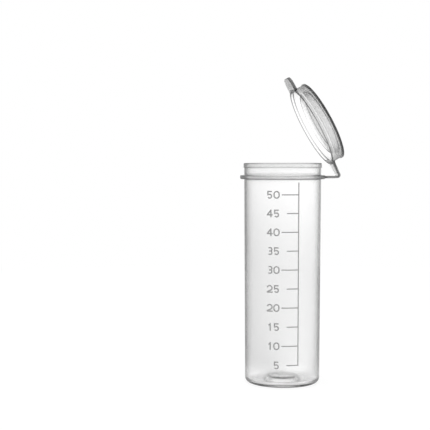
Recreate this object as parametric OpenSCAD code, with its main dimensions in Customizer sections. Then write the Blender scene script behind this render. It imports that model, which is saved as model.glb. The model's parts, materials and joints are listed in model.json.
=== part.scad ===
// Graduated sample tube of clear moulded plastic, with a snap lid on a living hinge.
// The foot stands on z = 0, the tube's axis is Z, and the lid is hinged on the +X side.

/* [Tube] */
// Height of the rim above the foot
tube_h = 89.5; // [88:0.5:100]
// Outer radius of the neck, and of the wall where it meets the collar
tube_r = 15.6; // [14.5:0.1:17]
// How much smaller the radius is at the foot, so that the moulding leaves its core
draft = 0.4; // [0.1:0.05:0.6]
// Thickness of the wall
wall_t = 0.85; // [0.7:0.05:1.2]
// Length of the straight bore below the rim
bore_h = 7.5; // [5:0.5:12]

/* [Foot and floor] */
// Radius of the rounded corner between the foot and the wall
corner_r = 2; // [1.5:0.1:2.5]
// Radius of the rounded corner inside, between the floor and the wall
inner_corner_r = 1.3; // [0.5:0.1:2.8]
// Thickness of the floor
floor_t = 1.2; // [0.8:0.1:1.3]
// Radius of the hollow under the raised centre, where it meets the foot
punt_r = 6.3; // [4:0.1:8]
// Height of the hollow under the raised centre
punt_h = 1.8; // [1:0.1:2.5]
// How much narrower the hollow is at its top
punt_slope = 1.2; // [0.5:0.1:2]

/* [Collar and snap bead] */
// Height of the collar's underside above the foot
collar_z = 83; // [82:0.1:84]
// Thickness of the collar
collar_t = 1.55; // [1.2:0.05:1.6]
// How far the collar stands out from the neck
collar_w = 1.7; // [1:0.1:2.5]
// Size of the sloped root under the collar, which clears the marks
root_w = 0.2; // [0.2:0.05:0.4]
// Height of the snap bead round the mouth
bead_h = 2; // [1.2:0.1:2.4]
// How far the snap bead stands out from the neck
bead_w = 0.3; // [0.2:0.05:0.3]

/* [Lid] */
// Angle that the lid stands open at
open_angle = 61.5; // [0:0.5:180]
// Radius of the lid's top disc
plate_r = 16.95; // [16.9:0.05:17.2]
// Thickness of the lid's top disc
plate_t = 0.9; // [0.7:0.1:1.2]
// Inner radius of the skirt under the disc
skirt_r = 16.1; // [16.1:0.05:16.2]
// Thickness of the skirt
skirt_t = 0.5; // [0.4:0.05:0.55]
// How much wider the skirt is at its flange
skirt_flare = 0.15; // [0.15:0.05:0.2]
// Outer radius of the flange round the skirt's lower edge
flange_r = 17.2; // [17.1:0.05:17.6]
// Thickness of the flange and of the thumb tab
flange_t = 1.3; // [1:0.1:1.5]
// Outer radius of the seal ring where it leaves the disc
seal_r = 14.2; // [13.8:0.1:14.2]
// Depth of the seal ring
seal_h = 2.2; // [1.5:0.1:2.2]
// Thickness of the seal ring
seal_t = 0.7; // [0.5:0.1:1]
// Distance from the tube's axis to the end of the thumb tab
tab_reach = 22.2; // [20:0.1:26]
// Width of the thumb tab
tab_w = 12; // [8:0.5:16]
// Radius of the thumb tab's corners
tab_corner_r = 3.5; // [0.5:0.5:4]

/* [Hinge strap] */
// Distance from the tube's axis to the fold
fold_x = 22; // [22:0.1:26]
// Width of the strap at the collar and at the flange
strap_w = 12; // [9:0.5:16]
// Width of the strap at the fold
fold_w = 8.5; // [6:0.5:9]
// Thickness of the strap
strap_t = 1; // [0.7:0.05:1]
// Radius of the thin web that bends
web_r = 0.5; // [0.45:0.01:0.5]

/* [Graduation] */
// Direction that the middle of the scale faces, measured round the tube from the hinge
scale_dir = -100; // [-150:5:150]
// Volume between two marks, in millilitres
step_ml = 5; // [5:5:5]
// Number of marks
mark_count = 10; // [2:1:10]
// Angle from the middle of the scale to its vertical line
line_at = 23.4; // [20:0.1:30]
// Angle at which a long tick starts
long_from = -1.2; // [-3.4:0.1:0]
// Angle at which a short tick starts
short_from = 6.4; // [1:0.1:10]
// Angle at which the numbers end
numbers_to = -4; // [-8:0.1:-3.8]
// Width of the vertical line and of the ticks
line_w = 0.42; // [0.3:0.02:0.6]
// Height of a digit
digit_h = 3.1; // [2.8:0.05:3.5]
// Width of a digit
digit_w = 2.5; // [2:0.05:2.6]
// Gap between two digits
digit_gap = 0.3; // [0.2:0.05:0.5]
// Width of a digit's strokes
stroke_w = 0.5; // [0.3:0.02:0.56]
// How far the marks stand out from the wall
mark_t = 0.1; // [0.05:0.01:0.15]

/* [Hidden] */

$fn = 128;
clear_plastic = [0.88, 0.90, 0.91, 0.75];
mark_grey = [0.55, 0.55, 0.55];

// Height of the moulded foot section, up to where the barrel starts
base_h = 4;
// Rounding of the outer edges of the collar, the bead and the flange
edge_r = 0.28;
// Free height between the rim and the closed lid's disc
lid_gap = 0.1;
// Free height between the collar and the closed lid's flange
flange_gap = 0.2;
// How much the flange's inner edge opens downwards, to guide the lid over the bead
lead_in = 0.15;
// How much narrower the seal ring is at its tip
seal_taper = 0.6;
// How far each leaf's end stays from the plane through the fold
leaf_end_gap = 0.1;
// How far a leaf's flat face stays from the fold's axis
leaf_offset = 0.35;
// Running gap between the lid's leaf and the web
web_gap = 0.1;
// Free height between the collar and the top of the vertical line
line_gap = 1.2;
// How far a leaf's or the tab's outline starts inside the ring that it is cut to
plan_root = 2;
// How far a cutting shape reaches past what it cuts
cut_over = 1;

plate_z = tube_h + lid_gap;
flange_z = collar_z + collar_t + flange_gap;
flange_top = flange_z + flange_t;
collar_r = tube_r + collar_w;
fold_z = flange_z - flange_gap / 2;
line_top = collar_z - line_gap;
draft_slope = draft / (collar_z - corner_r);

// Outer and inner radius of the drafted wall at height z
function wall_r(z) = tube_r - draft_slope * (collar_z - z);
function bore_r(z) = wall_r(z) - wall_t;

// Radius of the raised centre inside the tube, at its root and at its top
rise_r = punt_r + floor_t;
rise_top_r = rise_r - punt_slope;
// Volume that the raised centre takes from the tube, in cubic millimetres
rise_volume = PI / 3 * punt_h * (pow(rise_r, 2) + rise_r * rise_top_r + pow(rise_top_r, 2));

// Height at which the tube holds the volume v, in cubic millimetres: the wall is a cone inside
function fill_z(v) =
    let (r0 = bore_r(floor_t))
    floor_t + (pow(pow(r0, 3) + 3 * draft_slope * (v + rise_volume) / PI, 1 / 3) - r0) / draft_slope;
function mark_z(i) = fill_z(1000 * step_ml * (i + 1));
function is_long(i) = i % 2 == 1;

// Angle that a length along the wall covers, in degrees
function arc_deg(length) = length / tube_r * 180 / PI;

// ---- shared shapes ----

// Half section of a ring with rounded outer edges, for rotate_extrude
module rounded_lip(r_in, r_out, z0, z1, round_r) {
    w = r_out - r_in;
    h = z1 - z0;
    translate([r_in, z0])
        intersection() {
            square([w, h]);
            union() {
                translate([-round_r, 0])
                    square([w, h]);
                translate([0, round_r])
                    square([w, h - 2 * round_r]);
                for (z = [round_r, h - round_r])
                    translate([w - round_r, z])
                        circle(r = round_r, $fn = 32);
            }
        }
}

// Turns the lid about the fold, from closed to the angle that it stands open at
module lid_pose() {
    translate([fold_x, 0, fold_z])
        rotate([0, open_angle, 0])
            translate([-fold_x, 0, -fold_z])
                children();
}

// Plan of one half of the strap, from a ring of radius ring_r out to the fold
module strap_plan(ring_r) {
    difference() {
        polygon([
            [ring_r - plan_root, -strap_w / 2],
            [fold_x - leaf_end_gap, -fold_w / 2],
            [fold_x - leaf_end_gap, fold_w / 2],
            [ring_r - plan_root, strap_w / 2]
        ]);
        circle(r = ring_r);
    }
}

module fold_cylinder(r, w) {
    translate([fold_x, 0, fold_z])
        rotate([90, 0, 0])
            cylinder(h = w, r = r, center = true);
}

// ---- tube ----

// Half section of the space inside the foot section
module floor_hollow() {
    difference() {
        union() {
            polygon([
                [0, floor_t + inner_corner_r],
                [bore_r(floor_t + inner_corner_r), floor_t + inner_corner_r],
                [bore_r(base_h), base_h],
                [bore_r(base_h), base_h + cut_over],
                [0, base_h + cut_over]
            ]);
            translate([0, floor_t])
                square([bore_r(floor_t + inner_corner_r) - inner_corner_r, inner_corner_r]);
            translate([bore_r(floor_t + inner_corner_r) - inner_corner_r, floor_t + inner_corner_r])
                circle(r = inner_corner_r);
        }
        polygon([
            [0, 0],
            [rise_r, 0],
            [rise_r, floor_t],
            [rise_top_r, punt_h + floor_t],
            [0, punt_h + floor_t]
        ]);
    }
}

module tube_base() {
    color(clear_plastic)
        rotate_extrude()
            difference() {
                union() {
                    square([wall_r(corner_r) - corner_r, corner_r]);
                    translate([wall_r(corner_r) - corner_r, corner_r])
                        circle(r = corner_r);
                    polygon([
                        [0, corner_r],
                        [wall_r(corner_r), corner_r],
                        [wall_r(base_h), base_h],
                        [0, base_h]
                    ]);
                }
                floor_hollow();
                polygon([
                    [0, 0],
                    [punt_r, 0],
                    [punt_r - punt_slope, punt_h],
                    [0, punt_h]
                ]);
            }
}

module tube_barrel() {
    bore_z = tube_h - bore_h;
    color(clear_plastic)
        rotate_extrude()
            polygon([
                [bore_r(base_h), base_h],
                [wall_r(base_h), base_h],
                [tube_r, collar_z],
                [tube_r, tube_h],
                [tube_r - wall_t, tube_h],
                [tube_r - wall_t, bore_z]
            ]);
}

module collar_ring() {
    color(clear_plastic)
        rotate_extrude() {
            rounded_lip(tube_r, collar_r, collar_z, collar_z + collar_t, edge_r);
            polygon([
                [wall_r(collar_z - root_w), collar_z - root_w],
                [tube_r + root_w, collar_z],
                [tube_r, collar_z]
            ]);
        }
}

module rim_bead() {
    color(clear_plastic)
        rotate_extrude()
            rounded_lip(tube_r, tube_r + bead_w, tube_h - bead_h, tube_h, edge_r);
}

module strap_tube_leaf() {
    color(clear_plastic)
        difference() {
            translate([0, 0, fold_z - leaf_offset - strap_t])
                linear_extrude(strap_t)
                    strap_plan(collar_r);
            fold_cylinder(web_r, fold_w + cut_over);
        }
}

module hinge_web() {
    color(clear_plastic)
        fold_cylinder(web_r, fold_w);
}

// ---- lid, drawn closed and then turned open ----

module lid_plate() {
    color(clear_plastic)
        lid_pose()
            rotate_extrude()
                rounded_lip(0, plate_r, plate_z, plate_z + plate_t, edge_r);
}

module lid_skirt() {
    color(clear_plastic)
        lid_pose()
            rotate_extrude()
                polygon([
                    [skirt_r, plate_z],
                    [skirt_r + skirt_t, plate_z],
                    [skirt_r + skirt_t + skirt_flare, flange_top],
                    [skirt_r + skirt_flare, flange_top]
                ]);
}

module lid_flange() {
    color(clear_plastic)
        lid_pose()
            rotate_extrude()
                difference() {
                    rounded_lip(skirt_r + skirt_flare, flange_r, flange_z, flange_top, edge_r);
                    polygon([
                        [skirt_r, flange_z],
                        [skirt_r + skirt_flare + lead_in, flange_z],
                        [skirt_r + skirt_flare, flange_z + flange_t / 2],
                        [skirt_r, flange_z + flange_t / 2]
                    ]);
                }
}

module lid_seal_ring() {
    color(clear_plastic)
        lid_pose()
            rotate_extrude()
                polygon([
                    [seal_r - seal_t, plate_z],
                    [seal_r, plate_z],
                    [seal_r - seal_taper, plate_z - seal_h],
                    [seal_r - seal_t - seal_taper / 2, plate_z - seal_h]
                ]);
}

module thumb_tab() {
    half_w = tab_w / 2;
    color(clear_plastic)
        lid_pose()
            translate([0, 0, flange_z])
                linear_extrude(flange_t)
                    difference() {
                        union() {
                            translate([tab_corner_r - tab_reach, -half_w])
                                square([tab_reach - flange_r + plan_root, tab_w]);
                            translate([-tab_reach, tab_corner_r - half_w])
                                square([tab_reach - flange_r, tab_w - 2 * tab_corner_r]);
                            for (side = [-1, 1])
                                translate([tab_corner_r - tab_reach, side * (half_w - tab_corner_r)])
                                    circle(r = tab_corner_r);
                        }
                        circle(r = flange_r);
                    }
}

module strap_lid_leaf() {
    color(clear_plastic)
        lid_pose()
            difference() {
                translate([0, 0, fold_z + leaf_offset])
                    linear_extrude(strap_t)
                        strap_plan(flange_r);
                fold_cylinder(web_r + web_gap, fold_w + cut_over);
            }
}

// ---- graduation ----

// A thin raised patch of the wall between two angles and two heights
module wall_patch(a0, a1, z0, z1) {
    rotate([0, 0, scale_dir + a0])
        rotate_extrude(angle = a1 - a0)
            polygon([
                [wall_r(z0), z0],
                [wall_r(z0) + mark_t, z0],
                [wall_r(z1) + mark_t, z1],
                [wall_r(z1), z1]
            ]);
}

module scale_line() {
    color(mark_grey)
        wall_patch(line_at, line_at + arc_deg(line_w), mark_z(0) - line_w / 2, line_top);
}

module scale_ticks() {
    color(mark_grey)
        for (i = [0 : mark_count - 1]) {
            tick_from = is_long(i) ? long_from : short_from;
            wall_patch(tick_from, line_at, mark_z(i) - line_w / 2, mark_z(i) + line_w / 2);
        }
}

// A straight stroke of a digit, with square ends, from a to b
module bar(a, b) {
    d = b - a;
    translate(a)
        rotate(atan2(d[1], d[0]))
            translate([0, -stroke_w / 2])
                square([norm(d), stroke_w]);
}

// A curved stroke of a digit, round the point c, from angle a0 to the larger angle a1
module bow(c, r, a0, a1) {
    far = 4 * r;
    translate(c)
        intersection() {
            difference() {
                circle(r = r + stroke_w / 2, $fn = 48);
                circle(r = r - stroke_w / 2, $fn = 48);
            }
            polygon(concat(
                [[0, 0]],
                [for (i = [0 : 4]) let (a = a0 + (a1 - a0) * i / 4) far * [cos(a), sin(a)]]
            ));
        }
}

// One digit from 0 to 5, centred on the origin
module digit(n) {
    x = (digit_w - stroke_w) / 2;
    y = (digit_h - stroke_w) / 2;
    mid_y = -0.2 * y;
    small_r = y / 2;
    bowl_r = 0.58 * y;
    if (n == 0) {
        for (side = [-1, 1]) {
            bow([0, side * (y - x)], x, side > 0 ? 0 : 180, side > 0 ? 180 : 360);
            bar([side * x, x - y], [side * x, y - x]);
        }
    }
    if (n == 1) {
        bar([x / 4, -digit_h / 2], [x / 4, digit_h / 2]);
        bar([-x / 2, 0.45 * y], [x / 4, 0.9 * y]);
    }
    if (n == 2) {
        bow([0, y - x], x, -40, 165);
        bar([x * cos(40), y - x - x * sin(40)], [-0.9 * x, stroke_w / 2 - y]);
        bar([-digit_w / 2, -y], [digit_w / 2, -y]);
    }
    if (n == 3) {
        for (side = [-1, 1]) {
            bow([x / 4, side * small_r], small_r, -90, 90);
            bar([-x / 2, side * y], [x / 4, side * y]);
        }
        bar([-x / 4, 0], [x / 4, 0]);
    }
    if (n == 4) {
        bar([x / 2, -digit_h / 2], [x / 2, digit_h / 2]);
        bar([-digit_w / 2, -0.4 * y], [digit_w / 2, -0.4 * y]);
        bar([-x, -0.4 * y], [x / 2, y]);
    }
    if (n == 5) {
        bar([-0.75 * x, y], [0.85 * x, y]);
        bar([-0.75 * x, digit_h / 2], [-0.75 * x, mid_y]);
        bow([0, bowl_r - y], bowl_r, -150, 125);
    }
}

// A digit whose middle faces the angle a, raised from the wall at height z
module wall_digit(n, a, z) {
    half_a = arc_deg(digit_w) * 0.6;
    intersection() {
        wall_patch(a - half_a, a + half_a, z - digit_h, z + digit_h);
        rotate([0, 0, scale_dir + a])
            rotate([90, 0, 90])
                translate([0, z, tube_r / 2])
                    linear_extrude(tube_r)
                        digit(n);
    }
}

module scale_numerals() {
    last_a = numbers_to - arc_deg(digit_w / 2);
    color(mark_grey)
        for (i = [0 : mark_count - 1]) {
            value = step_ml * (i + 1);
            wall_digit(value % 10, last_a, mark_z(i));
            if (value > 9)
                wall_digit(floor(value / 10), last_a - arc_deg(digit_w + digit_gap), mark_z(i));
        }
}

tube_base();
tube_barrel();
collar_ring();
rim_bead();
strap_tube_leaf();
hinge_web();
scale_line();
scale_ticks();
scale_numerals();
lid_plate();
lid_skirt();
lid_flange();
lid_seal_ring();
thumb_tab();
strap_lid_leaf();
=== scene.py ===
import json
from math import asin, ceil, cos, pi, radians, sin, sqrt, tan

import bmesh
import bpy
from mathutils import Matrix, Vector


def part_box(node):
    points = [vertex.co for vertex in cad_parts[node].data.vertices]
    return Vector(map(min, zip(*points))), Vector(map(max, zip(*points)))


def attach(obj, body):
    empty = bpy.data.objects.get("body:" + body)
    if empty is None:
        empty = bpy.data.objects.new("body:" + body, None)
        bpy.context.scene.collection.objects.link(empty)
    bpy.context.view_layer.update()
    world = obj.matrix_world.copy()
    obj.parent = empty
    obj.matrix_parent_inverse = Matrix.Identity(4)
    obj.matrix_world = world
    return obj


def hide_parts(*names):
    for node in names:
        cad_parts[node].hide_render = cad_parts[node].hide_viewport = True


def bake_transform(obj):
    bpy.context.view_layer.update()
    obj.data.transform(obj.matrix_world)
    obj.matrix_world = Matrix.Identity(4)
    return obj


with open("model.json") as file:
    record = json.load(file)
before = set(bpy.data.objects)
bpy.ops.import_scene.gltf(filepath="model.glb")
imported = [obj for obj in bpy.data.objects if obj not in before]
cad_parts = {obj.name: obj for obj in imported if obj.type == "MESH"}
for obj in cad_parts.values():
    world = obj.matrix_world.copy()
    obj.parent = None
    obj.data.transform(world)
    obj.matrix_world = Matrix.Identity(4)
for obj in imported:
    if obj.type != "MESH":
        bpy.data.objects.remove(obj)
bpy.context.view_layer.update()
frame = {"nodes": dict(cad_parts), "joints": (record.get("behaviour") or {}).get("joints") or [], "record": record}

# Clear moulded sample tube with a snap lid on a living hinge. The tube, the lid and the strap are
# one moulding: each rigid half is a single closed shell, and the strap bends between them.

MM = 0.001
QUARTER = pi / 2
TINY = 1e-7


# ---- sizes, from the frame ----

def mount(name):
    """The record's mount of that name."""
    return next(m for m in frame["record"]["mounts"] if m["name"] == name)


HINGE = frame["joints"][0]
FOLD = Vector(HINGE["pos_m"])
OPEN_ANGLE = radians(-HINGE["range_deg"][0])
BORE_R = mount("mouth")["dims"]["r_mm"] * MM
BORE_H = mount("mouth")["dims"]["length_mm"] * MM


def lid_turn(angle):
    """The lid's turn about the fold, positive as it opens."""
    return Matrix.Translation(FOLD) @ Matrix.Rotation(angle, 4, "Y") @ Matrix.Translation(-FOLD)


def closed_box(node):
    """Lowest and highest corner of one of the lid's nodes with the lid shut."""
    shut = lid_turn(-OPEN_ANGLE)
    points = [shut @ v.co for v in frame["nodes"][node].data.vertices]
    return (Vector([min(p[k] for p in points) for k in range(3)]),
            Vector([max(p[k] for p in points) for k in range(3)]))


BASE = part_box("tube_base")
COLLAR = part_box("collar_ring")
CLEAR_OF_BOX = 0.01 * MM
COLLAR_R = COLLAR[1].x - CLEAR_OF_BOX
COLLAR_Z = mount("collar_seat")["pos_m"][2]
COLLAR_TOP = COLLAR[1].z
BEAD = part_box("rim_bead")
BEAD_Z = BEAD[0].z
NECK_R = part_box("tube_barrel")[1].x
RIM_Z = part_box("tube_barrel")[1].z
WALL = NECK_R - BORE_R
PLATE = closed_box("lid_plate")
SKIRT = closed_box("lid_skirt")
FLANGE = closed_box("lid_flange")
SEAL = closed_box("lid_seal_ring")
TAB = closed_box("thumb_tab")
TUBE_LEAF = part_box("strap_tube_leaf")

# Sizes of the tube and the lid that no box of the frame shows
FOOT_CORNER = 2.0 * MM
FLOOR = 1.2 * MM
FLOOR_CORNER = 1.3 * MM
PUNT_R = 6.3 * MM
PUNT_TOP_R = 5.1 * MM
PUNT_H = 1.8 * MM
BEAD_SLOPE = 0.05 * MM
SKIRT_WALL = 0.5 * MM
SKIRT_FLARE = 0.15 * MM
LEAD_IN = 0.15 * MM
SHOULDER = 0.2 * MM
SEAL_WALL = 0.7 * MM
SEAL_TAPER = 0.6 * MM
TAB_CORNER = 3.5 * MM
TAB_EDGE = 0.3 * MM
TAB_SINK = 0.45 * MM
TAB_CLEAR_OF_BOX = 0.02 * MM

# Sizes of the strap. Shares are of the way from the collar or the flange to the fold
STRAP_W = TUBE_LEAF[1].y - TUBE_LEAF[0].y
FOLD_W = 8.5 * MM
LEAF_T = TUBE_LEAF[1].z - TUBE_LEAF[0].z
WEB_T = 0.9 * MM
THIN_FROM = 0.6
BEND_R = FOLD.z - (TUBE_LEAF[0].z + TUBE_LEAF[1].z) / 2
ROOT_SINK = 0.03 * MM
ROOT_FLARE = 0.8 * MM
FLARE_SHARE = 0.25

# How finely things are divided, with ARC_STEPS to a quarter turn. An arc takes ARC_ROOM of a side
RING_STEPS = 192
ARC_STEPS = 6
ARC_ROOM = 0.499
EDGE_STEPS = 3
TAB_ROOT_STEPS = 8
TAB_CORNER_STEPS = 8
LEAF_ROWS = 14
BEND_ROWS = 12
STRAP_COLUMNS = 16


# ---- mesh helpers ----

def rounded(corners):
    """A line through (x, y, radius) corners, with an arc at each corner that has a radius."""
    line = []
    for i, (x, y, r) in enumerate(corners):
        here = Vector((x, y))
        if not r:
            line.append(here)
            continue
        before = Vector(corners[i - 1][:2]) - here
        after = Vector(corners[(i + 1) % len(corners)][:2]) - here
        room = ARC_ROOM * min(before.length, after.length)
        before.normalize()
        after.normalize()
        half = before.angle(after) / 2
        reach = min(r / tan(half), room)
        middle = here + (before + after).normalized() * (reach / cos(half))
        a = here + before * reach - middle
        b = here + after * reach - middle
        turn = pi - 2 * half
        if a.x * b.y - a.y * b.x < 0:
            turn = -turn
        steps = max(2, ceil(abs(turn) / QUARTER * ARC_STEPS))
        for k in range(steps + 1):
            t = turn * k / steps
            line.append(middle + Vector((a.x * cos(t) - a.y * sin(t), a.x * sin(t) + a.y * cos(t))))
    return line


def new_object(name, bm, material):
    """A smooth-shaded object in the scene, from a mesh in the making."""
    bmesh.ops.recalc_face_normals(bm, faces=bm.faces)
    for face in bm.faces:
        face.smooth = True
    mesh = bpy.data.meshes.new(name)
    bm.to_mesh(mesh)
    bm.free()
    mesh.materials.append(material)
    obj = bpy.data.objects.new(name, mesh)
    bpy.context.scene.collection.objects.link(obj)
    return obj


def lathe(outline):
    """A solid of revolution round Z, from an outline of (radius, height) points with both ends on Z."""
    bm = bmesh.new()
    turns = [2 * pi * k / RING_STEPS for k in range(RING_STEPS)]
    rings = []
    for r, z in outline:
        if r < TINY:
            rings.append([bm.verts.new((0, 0, z))] * RING_STEPS)
        else:
            rings.append([bm.verts.new((r * cos(a), r * sin(a), z)) for a in turns])
    for low, high in zip(rings, rings[1:]):
        for k in range(RING_STEPS):
            after = (k + 1) % RING_STEPS
            corners = [low[k], low[after], high[after], high[k]]
            bm.faces.new(list(dict.fromkeys(corners)))
    return bm


def slab(outline, z0, z1, edge_r):
    """A plate of that outline between two heights, with rounded edges."""
    bm = bmesh.new()
    bottom = bm.faces.new([bm.verts.new((x, y, z0)) for x, y in outline])
    made = bmesh.ops.extrude_face_region(bm, geom=[bottom])
    top = [v for v in made["geom"] if isinstance(v, bmesh.types.BMVert)]
    bmesh.ops.translate(bm, verts=top, vec=(0, 0, z1 - z0))
    rim = [e for e in bm.edges if abs(e.verts[0].co.z - e.verts[1].co.z) < TINY]
    bmesh.ops.bevel(bm, geom=rim, offset=edge_r, segments=EDGE_STEPS, profile=0.5, affect="EDGES")
    return bm


def merged(obj, other):
    """obj with the other merged into it as one closed solid."""
    union = obj.modifiers.new("union", "BOOLEAN")
    union.operation = "UNION"
    union.solver = "EXACT"
    union.object = other
    graph = bpy.context.evaluated_depsgraph_get()
    mesh = bpy.data.meshes.new_from_object(obj.evaluated_get(graph))
    obj.modifiers.clear()
    obj.data = mesh
    bpy.data.objects.remove(other)
    return obj


def even_shading(obj):
    """Large faces keep their own direction, so only the rounded edges look rounded."""
    weighted = obj.modifiers.new("even_shading", "WEIGHTED_NORMAL")
    weighted.weight = 100


# ---- shader helpers ----

def grey(tone):
    return (tone, tone, tone, 1)


def new_material(name):
    mat = bpy.data.materials.new(name)
    mat.use_nodes = True
    return mat


def feed(tree, socket, value):
    """Gives a socket its value, which is a number or another node's socket."""
    if isinstance(value, bpy.types.NodeSocket):
        tree.links.new(value, socket)
    else:
        socket.default_value = value


def node(tree, kind, **values):
    """A new node with those values at its inputs."""
    made = tree.nodes.new(kind)
    for key, value in values.items():
        feed(tree, made.inputs[key], value)
    return made


def maths(tree, operation, a, b=0):
    """A math node's result for two values, each a number or a socket."""
    made = tree.nodes.new("ShaderNodeMath")
    made.operation = operation
    for socket, value in zip(made.inputs, (a, b)):
        feed(tree, socket, value)
    return made.outputs["Value"]


def mixed(tree, share, a, b):
    """a where share is 0, b where it is 1."""
    return node(tree, "ShaderNodeMix", Factor=share, A=a, B=b).outputs["Result"]


def ranged(tree, value, low, high, from_low=0.3, from_high=0.7):
    """The value, spread from one range over another. The first is a noise's range if none is given."""
    made = node(tree, "ShaderNodeMapRange", Value=value)
    for name, v in (("From Min", from_low), ("From Max", from_high), ("To Min", low), ("To Max", high)):
        made.inputs[name].default_value = v
    return made.outputs["Result"]


def object_place(tree):
    """Place in the piece's own coordinates, which are the part's at rest."""
    return tree.nodes.new("ShaderNodeTexCoord").outputs["Object"]


def axes_of(tree, vector):
    """The vector's X, Y and Z, by name."""
    return node(tree, "ShaderNodeSeparateXYZ", Vector=vector).outputs


def noise(tree, stretch, scale, detail):
    """Noise over the object's own place, stretched along each axis. scale is in waves per millimetre."""
    scales = [scale * s / MM for s in stretch]
    mapping = node(tree, "ShaderNodeMapping", Vector=object_place(tree), Scale=scales)
    made = node(tree, "ShaderNodeTexNoise", Vector=mapping.outputs["Vector"], Scale=1.0, Detail=detail)
    return made.outputs["Fac"]


def bump(tree, height, depth, after=None):
    """Bump of that depth in metres, on top of the one before if there is one."""
    made = node(tree, "ShaderNodeBump", Height=height, Strength=1.0, Distance=depth)
    if after is not None:
        tree.links.new(after, made.inputs["Normal"])
    return made.outputs["Normal"]


def painted_shade_ramp(tree, value, stops):
    """A grey painted shade that follows the value through (value, tone) stops, from 0 up."""
    top = stops[-1][0]
    ramp = node(tree, "ShaderNodeValToRGB", Fac=ranged(tree, value, 0, 1, 0, top))
    elements = ramp.color_ramp.elements
    elements[0].position = 0
    elements[1].position = 1
    for place, _ in stops[1:-1]:
        elements.new(place / top)
    for element, (_, tone) in zip(elements, stops):
        element.color = grey(tone)
    return ramp.outputs["Color"]


# ---- materials ----

IOR = 1.49
ABSORBED = 0.5
HAZE_SPREAD = 0.2

# Absorption per metre and roughness of each piece: thin pieces need more to look as grey
TUBE_DENSITY, TUBE_HAZE = 8.0, 0.18
LID_DENSITY, LID_HAZE = 88.0, 0.21
STRAP_DENSITY, STRAP_HAZE = 50.0, 0.15

# Unevenness of the surfaces: stretch along each axis, waves per millimetre, detail
FLOW_MARKS = ((1, 1, 0.06), 0.35, 2.0)
FLOW_DEPTH = 0.01 * MM
WAVES = ((1, 1, 0.6), 0.09, 2.0)
WAVE_DEPTH = 0.05 * MM
MIST = ((1, 1, 1), 0.8, 4.0)
GRAIN = ((1, 1, 1), 3.0, 4.0)
GRAIN_DEPTH = 0.02 * MM

# Grey tone painted into the tube's base colour by height over the foot: painted shade on the lower wall, round the
# collar, over the neck and on the bead
TUBE_PAINTED_SHADE = [
    # foot and wall, with painted shade low on the wall fading out towards the collar
    (0, 1.0),
    (3 * MM, 0.99),
    (6 * MM, 0.91),
    (45 * MM, 0.935),
    (78 * MM, 1.0),
    # painted shade in the corner under the collar and on the collar's underside
    (COLLAR_Z - 0.45 * MM, 1.0),
    (COLLAR_Z - 0.35 * MM, 0.8),
    (COLLAR_Z - 0.05 * MM, 0.8),
    (COLLAR_Z, 0.02),
    (COLLAR_Z + 0.35 * MM, 0.05),
    # the collar's outer face with a little painted shade, and its top with deeper painted shade
    (COLLAR_Z + 0.5 * MM, 0.9),
    (COLLAR_TOP - 0.4 * MM, 0.9),
    (COLLAR_TOP - 0.2 * MM, 0.4),
    (COLLAR_TOP, 0.4),
    # neck, with painted shade just over the collar
    (COLLAR_TOP + 0.05 * MM, 0.9),
    (COLLAR_TOP + 0.7 * MM, 0.9),
    (COLLAR_TOP + 0.8 * MM, 1.0),
    (BEAD_Z - 0.05 * MM, 1.0),
    # bead, with painted shade on its underside and its top, and a little on its face
    (BEAD_Z, 0.65),
    (BEAD_Z + 0.3 * MM, 0.65),
    (BEAD_Z + 0.4 * MM, 0.92),
    (RIM_Z - 0.4 * MM, 0.92),
    (RIM_Z - 0.2 * MM, 0.1),
    (RIM_Z, 0.1),
]

# Grey tone painted into the lid's base colour by height over the flange's underside: painted shade on the flange's
# underside and on the tab. The tab counts as higher
TAB_LIFT = 20 * MM
TAB_START = FLANGE[1].x + 0.1 * MM
LID_PAINTED_SHADE = [
    (0, 0.3),
    (0.25 * MM, 0.3),
    (0.35 * MM, 1.0),
    (0.9 * TAB_LIFT, 1.0),
    (TAB_LIFT, 0.85),
    (TAB_LIFT + 2 * MM, 0.85),
]

# The ink's two tones, where they lie in its grain, and its roughness
INK_TONES = ((0.35, 0.27), (0.65, 0.4))
INK_ROUGHNESS = (0.45, 0.65)


def tube_height(tree):
    """Height over the foot."""
    return axes_of(tree, object_place(tree))["Z"]


def lid_height(tree):
    """Height over the flange's underside, with the lid shut. The tab counts as TAB_LIFT higher."""
    shut = lid_turn(-OPEN_ANGLE)
    mapping = node(tree, "ShaderNodeMapping", Vector=object_place(tree),
                   Rotation=shut.to_euler(), Location=shut.to_translation())
    axes = axes_of(tree, mapping.outputs["Vector"])
    height = maths(tree, "SUBTRACT", axes["Z"], FLANGE[0].z)
    squares = [maths(tree, "MULTIPLY", axes[k], axes[k]) for k in "XY"]
    radius = maths(tree, "SQRT", maths(tree, "ADD", *squares))
    on_tab = maths(tree, "GREATER_THAN", radius, TAB_START)
    return maths(tree, "ADD", height, maths(tree, "MULTIPLY", on_tab, TAB_LIFT))


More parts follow.
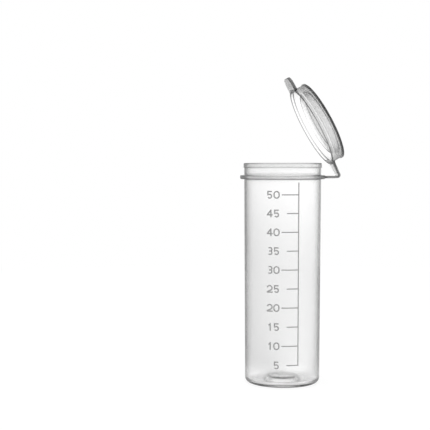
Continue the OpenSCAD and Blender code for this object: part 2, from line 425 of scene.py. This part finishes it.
def clear_plastic(name, density, haze, along=None, stops=None):
    """Natural polypropylene: clear, a little grey where light runs a long way in it, faintly wavy.

    Rings and edges are greyer by painted shade in the base colour: along gives the place on the piece, stops the
    tones there."""
    mat = new_material(name)
    tree = mat.node_tree
    tree.nodes.clear()
    mist = noise(tree, *MIST)
    normal = bump(tree, noise(tree, *WAVES), WAVE_DEPTH)
    normal = bump(tree, noise(tree, *FLOW_MARKS), FLOW_DEPTH, normal)
    skin = node(tree, "ShaderNodeBsdfPrincipled", Normal=normal, IOR=IOR)
    skin.inputs["Transmission Weight"].default_value = 1.0
    roughness = ranged(tree, mist, haze * (1 - HAZE_SPREAD), haze * (1 + HAZE_SPREAD))
    tree.links.new(roughness, skin.inputs["Roughness"])
    skin.inputs["Base Color"].default_value = grey(1)
    # Painted shade: the base colour greys by place on the piece, following the stops
    if stops:
        tree.links.new(painted_shade_ramp(tree, along(tree), stops), skin.inputs["Base Color"])
    inside = node(tree, "ShaderNodeVolumeAbsorption", Color=grey(ABSORBED), Density=density)
    out = tree.nodes.new("ShaderNodeOutputMaterial")
    tree.links.new(skin.outputs["BSDF"], out.inputs["Surface"])
    tree.links.new(inside.outputs["Volume"], out.inputs["Volume"])
    return mat


def mark_ink():
    """Matt grey marking ink, a little uneven."""
    mat = new_material("scale_mark")
    tree = mat.node_tree
    skin = tree.nodes["Principled BSDF"]
    grain = noise(tree, *GRAIN)
    ramp = node(tree, "ShaderNodeValToRGB", Fac=grain)
    for element, (place, tone) in zip(ramp.color_ramp.elements, INK_TONES):
        element.position = place
        element.color = grey(tone)
    tree.links.new(ramp.outputs["Color"], skin.inputs["Base Color"])
    tree.links.new(ranged(tree, grain, *INK_ROUGHNESS), skin.inputs["Roughness"])
    tree.links.new(bump(tree, grain, GRAIN_DEPTH), skin.inputs["Normal"])
    return mat


# The tube's and the lid's base colours carry painted shade by height
CLEAR = clear_plastic("clear_plastic", TUBE_DENSITY, TUBE_HAZE, tube_height, TUBE_PAINTED_SHADE)
LID_CLEAR = clear_plastic("lid_plastic", LID_DENSITY, LID_HAZE, lid_height, LID_PAINTED_SHADE)
STRAP_CLEAR = clear_plastic("strap_plastic", STRAP_DENSITY, STRAP_HAZE)
INK = mark_ink()


# ---- tube ----

def wall_r(z):
    """Outer radius of the drafted wall at height z."""
    slope = (NECK_R - BASE[1].x) / (COLLAR_Z - BASE[1].z)
    return NECK_R - slope * (COLLAR_Z - z)


def tube_shell():
    foot_r = wall_r(0)
    inner_r = foot_r - WALL
    outline = [
        (0, PUNT_H, 0),
        (PUNT_TOP_R, PUNT_H, 0.5 * MM),
        (PUNT_R, 0, 0.3 * MM),
        (foot_r, 0, FOOT_CORNER),
        (NECK_R, COLLAR_Z, 0.25 * MM),
        (COLLAR_R, COLLAR_Z, 0.5 * MM),
        (COLLAR_R, COLLAR_TOP, 0.3 * MM),
        (NECK_R, COLLAR_TOP, 0.25 * MM),
        (NECK_R, BEAD_Z, 0.1 * MM),
        (BEAD[1].x, BEAD_Z + BEAD_SLOPE, 0.22 * MM),
        (BEAD[1].x, RIM_Z, 0.5 * MM),
        (BORE_R, RIM_Z, 0.5 * MM),
        (BORE_R, RIM_Z - BORE_H, 0),
        (inner_r, FLOOR, FLOOR_CORNER),
        (PUNT_R + FLOOR, FLOOR, 0.5 * MM),
        (PUNT_TOP_R + FLOOR, PUNT_H + FLOOR, 0.5 * MM),
        (0, PUNT_H + FLOOR, 0),
    ]
    shell = new_object("tube_shell", lathe(rounded(outline)), CLEAR)
    even_shading(shell)
    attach(shell, "tube")
    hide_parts("tube_base", "tube_barrel", "collar_ring", "rim_bead")


# ---- lid ----

def tab_plan():
    """Outline of the thumb tab, from inside the flange out to its rounded corners."""
    half = TAB[1].y
    root_r = FLANGE[1].x - TAB_SINK
    spread = asin(half / root_r)
    swings = [spread * (1 - 2 * k / TAB_ROOT_STEPS) for k in range(TAB_ROOT_STEPS + 1)]
    root = [(-root_r * cos(a), root_r * sin(a)) for a in swings]
    turns = [QUARTER * k / TAB_CORNER_STEPS for k in range(TAB_CORNER_STEPS + 1)]
    corner_x = TAB[0].x + TAB_CORNER
    corner_y = half - TAB_CORNER
    near = [(corner_x - TAB_CORNER * sin(a), -corner_y - TAB_CORNER * cos(a)) for a in turns]
    far = [(x, -y) for x, y in reversed(near)]
    return root + near + far


def lid_shell():
    under = PLATE[0].z
    skirt_r = SKIRT[1].x
    skirt_inner_r = skirt_r - SKIRT_WALL
    seal_inner_r = SEAL[1].x - SEAL_WALL
    flange_middle = (FLANGE[0].z + FLANGE[1].z) / 2
    outline = [
        (0, under, 0),
        (seal_inner_r, under, 0.3 * MM),
        (seal_inner_r - SEAL_TAPER / 2, SEAL[0].z, 0.1 * MM),
        (SEAL[1].x - SEAL_TAPER, SEAL[0].z, 0.2 * MM),
        (SEAL[1].x, under, 0.25 * MM),
        (skirt_inner_r - SKIRT_FLARE, under, 0.3 * MM),
        (skirt_inner_r, FLANGE[1].z, 0),
        (skirt_inner_r, flange_middle, 0.3 * MM),
        (skirt_inner_r + LEAD_IN, FLANGE[0].z, 0.1 * MM),
        (FLANGE[1].x, FLANGE[0].z, 0.3 * MM),
        (FLANGE[1].x, FLANGE[1].z - SHOULDER, 0.4 * MM),
        (skirt_r, FLANGE[1].z + SHOULDER, 0.4 * MM),
        (skirt_r - SKIRT_FLARE, under, 0.15 * MM),
        (PLATE[1].x, under, 0.3 * MM),
        (PLATE[1].x, PLATE[1].z, 0.3 * MM),
        (0, PLATE[1].z, 0),
    ]
    shell = new_object("lid_shell", lathe(rounded(outline)), LID_CLEAR)
    tab = slab(tab_plan(), TAB[0].z + TAB_CLEAR_OF_BOX, TAB[1].z - TAB_CLEAR_OF_BOX, TAB_EDGE)
    shell = merged(shell, new_object("tab", tab, LID_CLEAR))
    shell.data.transform(lid_turn(OPEN_ANGLE))
    even_shading(shell)
    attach(shell, "lid")
    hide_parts("lid_plate", "lid_skirt", "lid_flange", "lid_seal_ring", "thumb_tab")


# ---- strap ----

def strap_line(y):
    """Middle line of the strap at that distance from the hinge's middle plane, from collar to flange.

    Each point is (position, direction along the strap, share of the way to the fold)."""
    line = []
    start = sqrt(COLLAR_R ** 2 - y ** 2) - ROOT_SINK
    for k in range(LEAF_ROWS):
        t = k / LEAF_ROWS
        line.append((Vector((start + (FOLD.x - start) * t, y, FOLD.z - BEND_R)), Vector((1, 0, 0)), t))
    for k in range(BEND_ROWS + 1):
        a = -QUARTER + (pi - OPEN_ANGLE) * k / BEND_ROWS
        out = Vector((cos(a), 0, sin(a)))
        line.append((FOLD + Vector((0, y, 0)) + out * BEND_R, Vector((-sin(a), 0, cos(a))), 1.0))
    end = sqrt(FLANGE[1].x ** 2 - y ** 2) - ROOT_SINK
    turn = lid_turn(OPEN_ANGLE)
    for k in range(1, LEAF_ROWS + 1):
        t = k / LEAF_ROWS
        place = Vector((FOLD.x + (end - FOLD.x) * t, y, FOLD.z + BEND_R))
        line.append((turn @ place, turn.to_3x3() @ Vector((-1, 0, 0)), 1 - t))
    return line


def strap_section():
    """Outline of the strap's flat, soft-edged section, as (across, up) points from -1 to 1."""
    points = []
    for side, order in ((1, range(STRAP_COLUMNS + 1)), (-1, range(STRAP_COLUMNS, -1, -1))):
        for k in order:
            u = sin((k / STRAP_COLUMNS * 2 - 1) * QUARTER)
            points.append((u, side * sqrt(max(1 - u ** 8, 0))))
    return points


def strap_half_width(share):
    """Half the width at that share of the way to the fold."""
    neck = share * share * (3 - 2 * share)
    flare = ROOT_FLARE * max(0, 1 - share / FLARE_SHARE) ** 2
    return (STRAP_W + (FOLD_W - STRAP_W) * neck) / 2 + flare


def strap_thickness(share):
    """Thickness at that share of the way to the fold."""
    return LEAF_T + (WEB_T - LEAF_T) * max(0, share - THIN_FROM) / (1 - THIN_FROM)


def strap_mesh():
    bm = bmesh.new()
    section = strap_section()
    rows = []
    for i, (_, _, share) in enumerate(strap_line(0)):
        half = strap_half_width(share)
        thick = strap_thickness(share)
        row = []
        for u, v in section:
            place, along, _ = strap_line(half * u)[i]
            up = along.cross(Vector((0, 1, 0))).normalized()
            row.append(bm.verts.new(place + up * (v * thick / 2)))
        rows.append(row)
    count = len(section)
    for a, b in zip(rows, rows[1:]):
        for k in range(count):
            after = (k + 1) % count
            bm.faces.new([a[k], a[after], b[after], b[k]])
    bm.faces.new(rows[0])
    bm.faces.new(list(reversed(rows[-1])))
    bmesh.ops.remove_doubles(bm, verts=bm.verts, dist=TINY)
    return bm


def strap():
    """One ribbon from collar to flange, thinner and narrower at the fold."""
    ribbon = new_object("hinge_strap", strap_mesh(), STRAP_CLEAR)
    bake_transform(ribbon)
    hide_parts("strap_tube_leaf", "hinge_web", "strap_lid_leaf")


# ---- camera, light and floor ----

# The set: its panels, the floor's glow, and the glow of light mirrored inside one wall and across the
# tube. Light that has crossed more than CROSSINGS surfaces was mirrored across the tube
PANEL_COUNT = 6
PANEL_TURN = radians(10)
PANEL_TONES = (0.8, 1.05)
FLOOR_GLOW = 1.15
CROSSINGS = 3.5
TRAPPED_GLOW = 0.3
ACROSS_SHARE = 0.85


def set_camera():
    """Long lens at the height of the rim, a little to the left of square to the hinge.

    The tube stands to the right of the picture's middle."""
    azimuth = radians(-10)
    aside = radians(3.72)
    down = radians(2.632)
    distance = 0.4244
    height = 0.0878
    heading = -azimuth - aside
    look = Vector((sin(heading) * cos(down), cos(heading) * cos(down), -sin(down)))
    data = bpy.data.cameras.new("camera")
    data.lens = 87.0
    data.clip_start = 0.01
    camera = bpy.data.objects.new("camera", data)
    camera.location = (sin(azimuth) * distance, -cos(azimuth) * distance, height)
    camera.rotation_euler = look.to_track_quat("-Z", "Y").to_euler()
    bpy.context.scene.collection.objects.link(camera)
    bpy.context.scene.camera = camera


def bright_field(tree, straight, outside, trapped):
    """Strength of the set's glow, by how its light reaches the camera.

    It is plain white where the camera sees it, and straight where plastic only bends it. Its mirror
    image on the outside of the plastic has the strength outside. Light mirrored inside one wall,
    which crosses its surface twice, has the strength trapped, and light mirrored across the tube is
    nearly straight."""
    rays = tree.nodes.new("ShaderNodeLightPath").outputs
    mirrored = maths(tree, "MINIMUM", rays["Glossy Depth"], 1)
    entered = maths(tree, "MINIMUM", rays["Transmission Depth"], 1)
    across = maths(tree, "GREATER_THAN", rays["Transmission Depth"], CROSSINGS)
    image = mixed(tree, entered, outside, trapped)
    image = mixed(tree, across, image, maths(tree, "MULTIPLY", straight, ACROSS_SHARE))
    glow = mixed(tree, mirrored, straight, image)
    return mixed(tree, rays["Is Camera Ray"], glow, 1.0)


def panel_tone(tree, axes):
    """Share of the glow by the heading from the tube: the panels are a little brighter than their gaps."""
    heading = maths(tree, "ARCTAN2", axes["X"], axes["Y"])
    phase = maths(tree, "MULTIPLY", maths(tree, "SUBTRACT", heading, PANEL_TURN), PANEL_COUNT)
    return ranged(tree, maths(tree, "SINE", phase), *PANEL_TONES, from_low=-1, from_high=1)


def set_world():
    """A bright-field studio: six white panels round the horizon, dark overhead."""
    world = bpy.data.worlds.new("studio")
    world.use_nodes = True
    bpy.context.scene.world = world
    bpy.context.scene.view_settings.view_transform = "Standard"
    tree = world.node_tree
    axes = axes_of(tree, tree.nodes.new("ShaderNodeTexCoord").outputs["Generated"])
    walls = ranged(tree, axes["Z"], low=1.1, high=1.3, from_low=-0.08, from_high=0.03)
    ceiling = ranged(tree, axes["Z"], low=1.0, high=0.1, from_low=0.3, from_high=0.55)
    straight = maths(tree, "MULTIPLY", maths(tree, "MULTIPLY", walls, ceiling), panel_tone(tree, axes))
    outside = ranged(tree, axes["X"], low=0.2, high=1.0, from_low=-1, from_high=1)
    background = tree.nodes["Background"].inputs
    tree.links.new(bright_field(tree, straight, outside, TRAPPED_GLOW), background["Strength"])
    background["Color"].default_value = grey(1)


def set_light():
    """A soft light overhead that leaves no image of itself in the plastic."""
    data = bpy.data.lights.new("overhead", "AREA")
    data.shape = "DISK"
    data.size = 0.8
    data.energy = 6.0
    height = 0.9
    light = bpy.data.objects.new("overhead", data)
    light.location = (0, 0, height)
    light.visible_glossy = False
    light.visible_transmission = False
    bpy.context.scene.collection.objects.link(light)


def floor_material():
    """White light table, on which the panels gleam. Its mirror image is weaker away from the tube."""
    mat = new_material("floor")
    tree = mat.node_tree
    skin = tree.nodes["Principled BSDF"].inputs
    skin["Base Color"].default_value = grey(0.15)
    skin["Roughness"].default_value = 0.9
    skin["Specular IOR Level"].default_value = 0.0
    skin["Emission Color"].default_value = grey(0.9)
    place = object_place(tree)
    gleam = maths(tree, "MULTIPLY", panel_tone(tree, axes_of(tree, place)), FLOOR_GLOW)
    distance = tree.nodes.new("ShaderNodeVectorMath")
    distance.operation = "LENGTH"
    tree.links.new(place, distance.inputs[0])
    image = ranged(tree, distance.outputs["Value"], low=0.75, high=0.4, from_low=20 * MM, from_high=60 * MM)
    tree.links.new(bright_field(tree, gleam, image, image), skin["Emission Strength"])
    return mat


def set_floor():
    """A round floor, just under the foot."""
    bm = bmesh.new()
    bmesh.ops.create_circle(bm, cap_ends=True, segments=96, radius=0.5)
    floor = new_object("floor", bm, floor_material())
    floor.location.z = -0.1 * MM


set_camera()
set_world()
set_light()
set_floor()
tube_shell()
lid_shell()
strap()

for cad_node in ("scale_line", "scale_ticks", "scale_numerals"):
    slots = frame["nodes"][cad_node].data.materials
    slots.clear()
    slots.append(INK)
